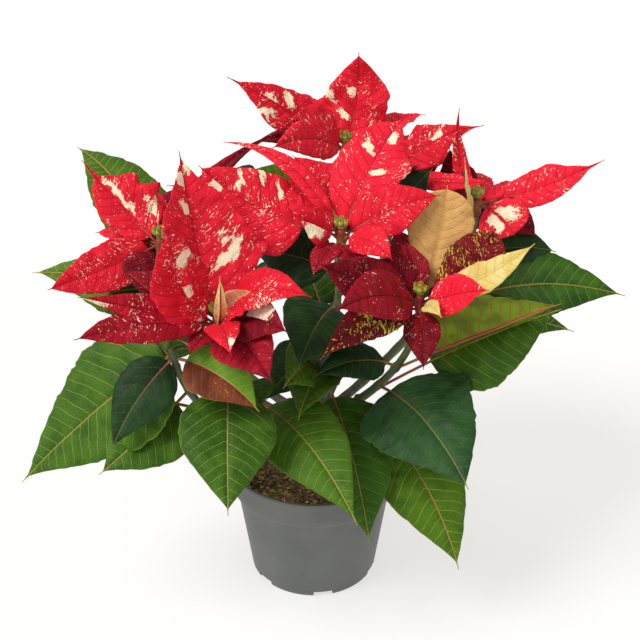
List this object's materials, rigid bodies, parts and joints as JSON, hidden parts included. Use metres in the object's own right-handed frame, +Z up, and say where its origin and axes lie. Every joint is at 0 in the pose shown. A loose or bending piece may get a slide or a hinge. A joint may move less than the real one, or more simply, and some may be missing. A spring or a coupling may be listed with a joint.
{
  "type": "potted poinsettia",
  "caption": "Poinsettia with broad pointed red bracts over dark green leaves, growing in a plain grey tapered nursery pot filled with soil.",
  "frame": {"origin": "middle of the pot's underside, where the pot rests", "axes": "+Z up along the pot's axis; -Y towards the front that the picture shows; +X to the right as seen from the front"},
  "size_m": [0.4554, 0.35, 0.37],
  "materials": {
    "pot_plastic": "smooth moulded grey plastic",
    "soil_crumb": "crumbly peat with bark and pale grains",
    "stem_bark": "thin grey-green bark",
    "leaf_green": "soft sheen, light veins",
    "bract_red": "velvety red with cream flecks",
    "cup_green": "smooth yellow-green"
  },
  "bodies": {
    "root": {"pot": "pot_plastic", "soil": "soil_crumb", "woody_stem": "stem_bark", "shoot_left_low": "leaf_green", "shoot_left_front": "leaf_green", "shoot_left_back": "leaf_green", "shoot_centre": "leaf_green", "shoot_top": "leaf_green", "shoot_right_top": "leaf_green", "shoot_right_back": "leaf_green", "shoot_right_front": "leaf_green", "bloom_left_front": "bract_red", "bloom_left_back": "bract_red", "bloom_centre": "bract_red", "bloom_top": "bract_red", "bloom_right_top": "bract_red", "bloom_right_back": "bract_red", "bloom_right_front": "bract_red", "cups_left_front": "cup_green", "cups_left_back": "cup_green", "cups_centre": "cup_green", "cups_top": "cup_green", "cups_right_top": "cup_green", "cups_right_back": "cup_green", "cups_right_front": "cup_green"}
  },
  "joints": []
}
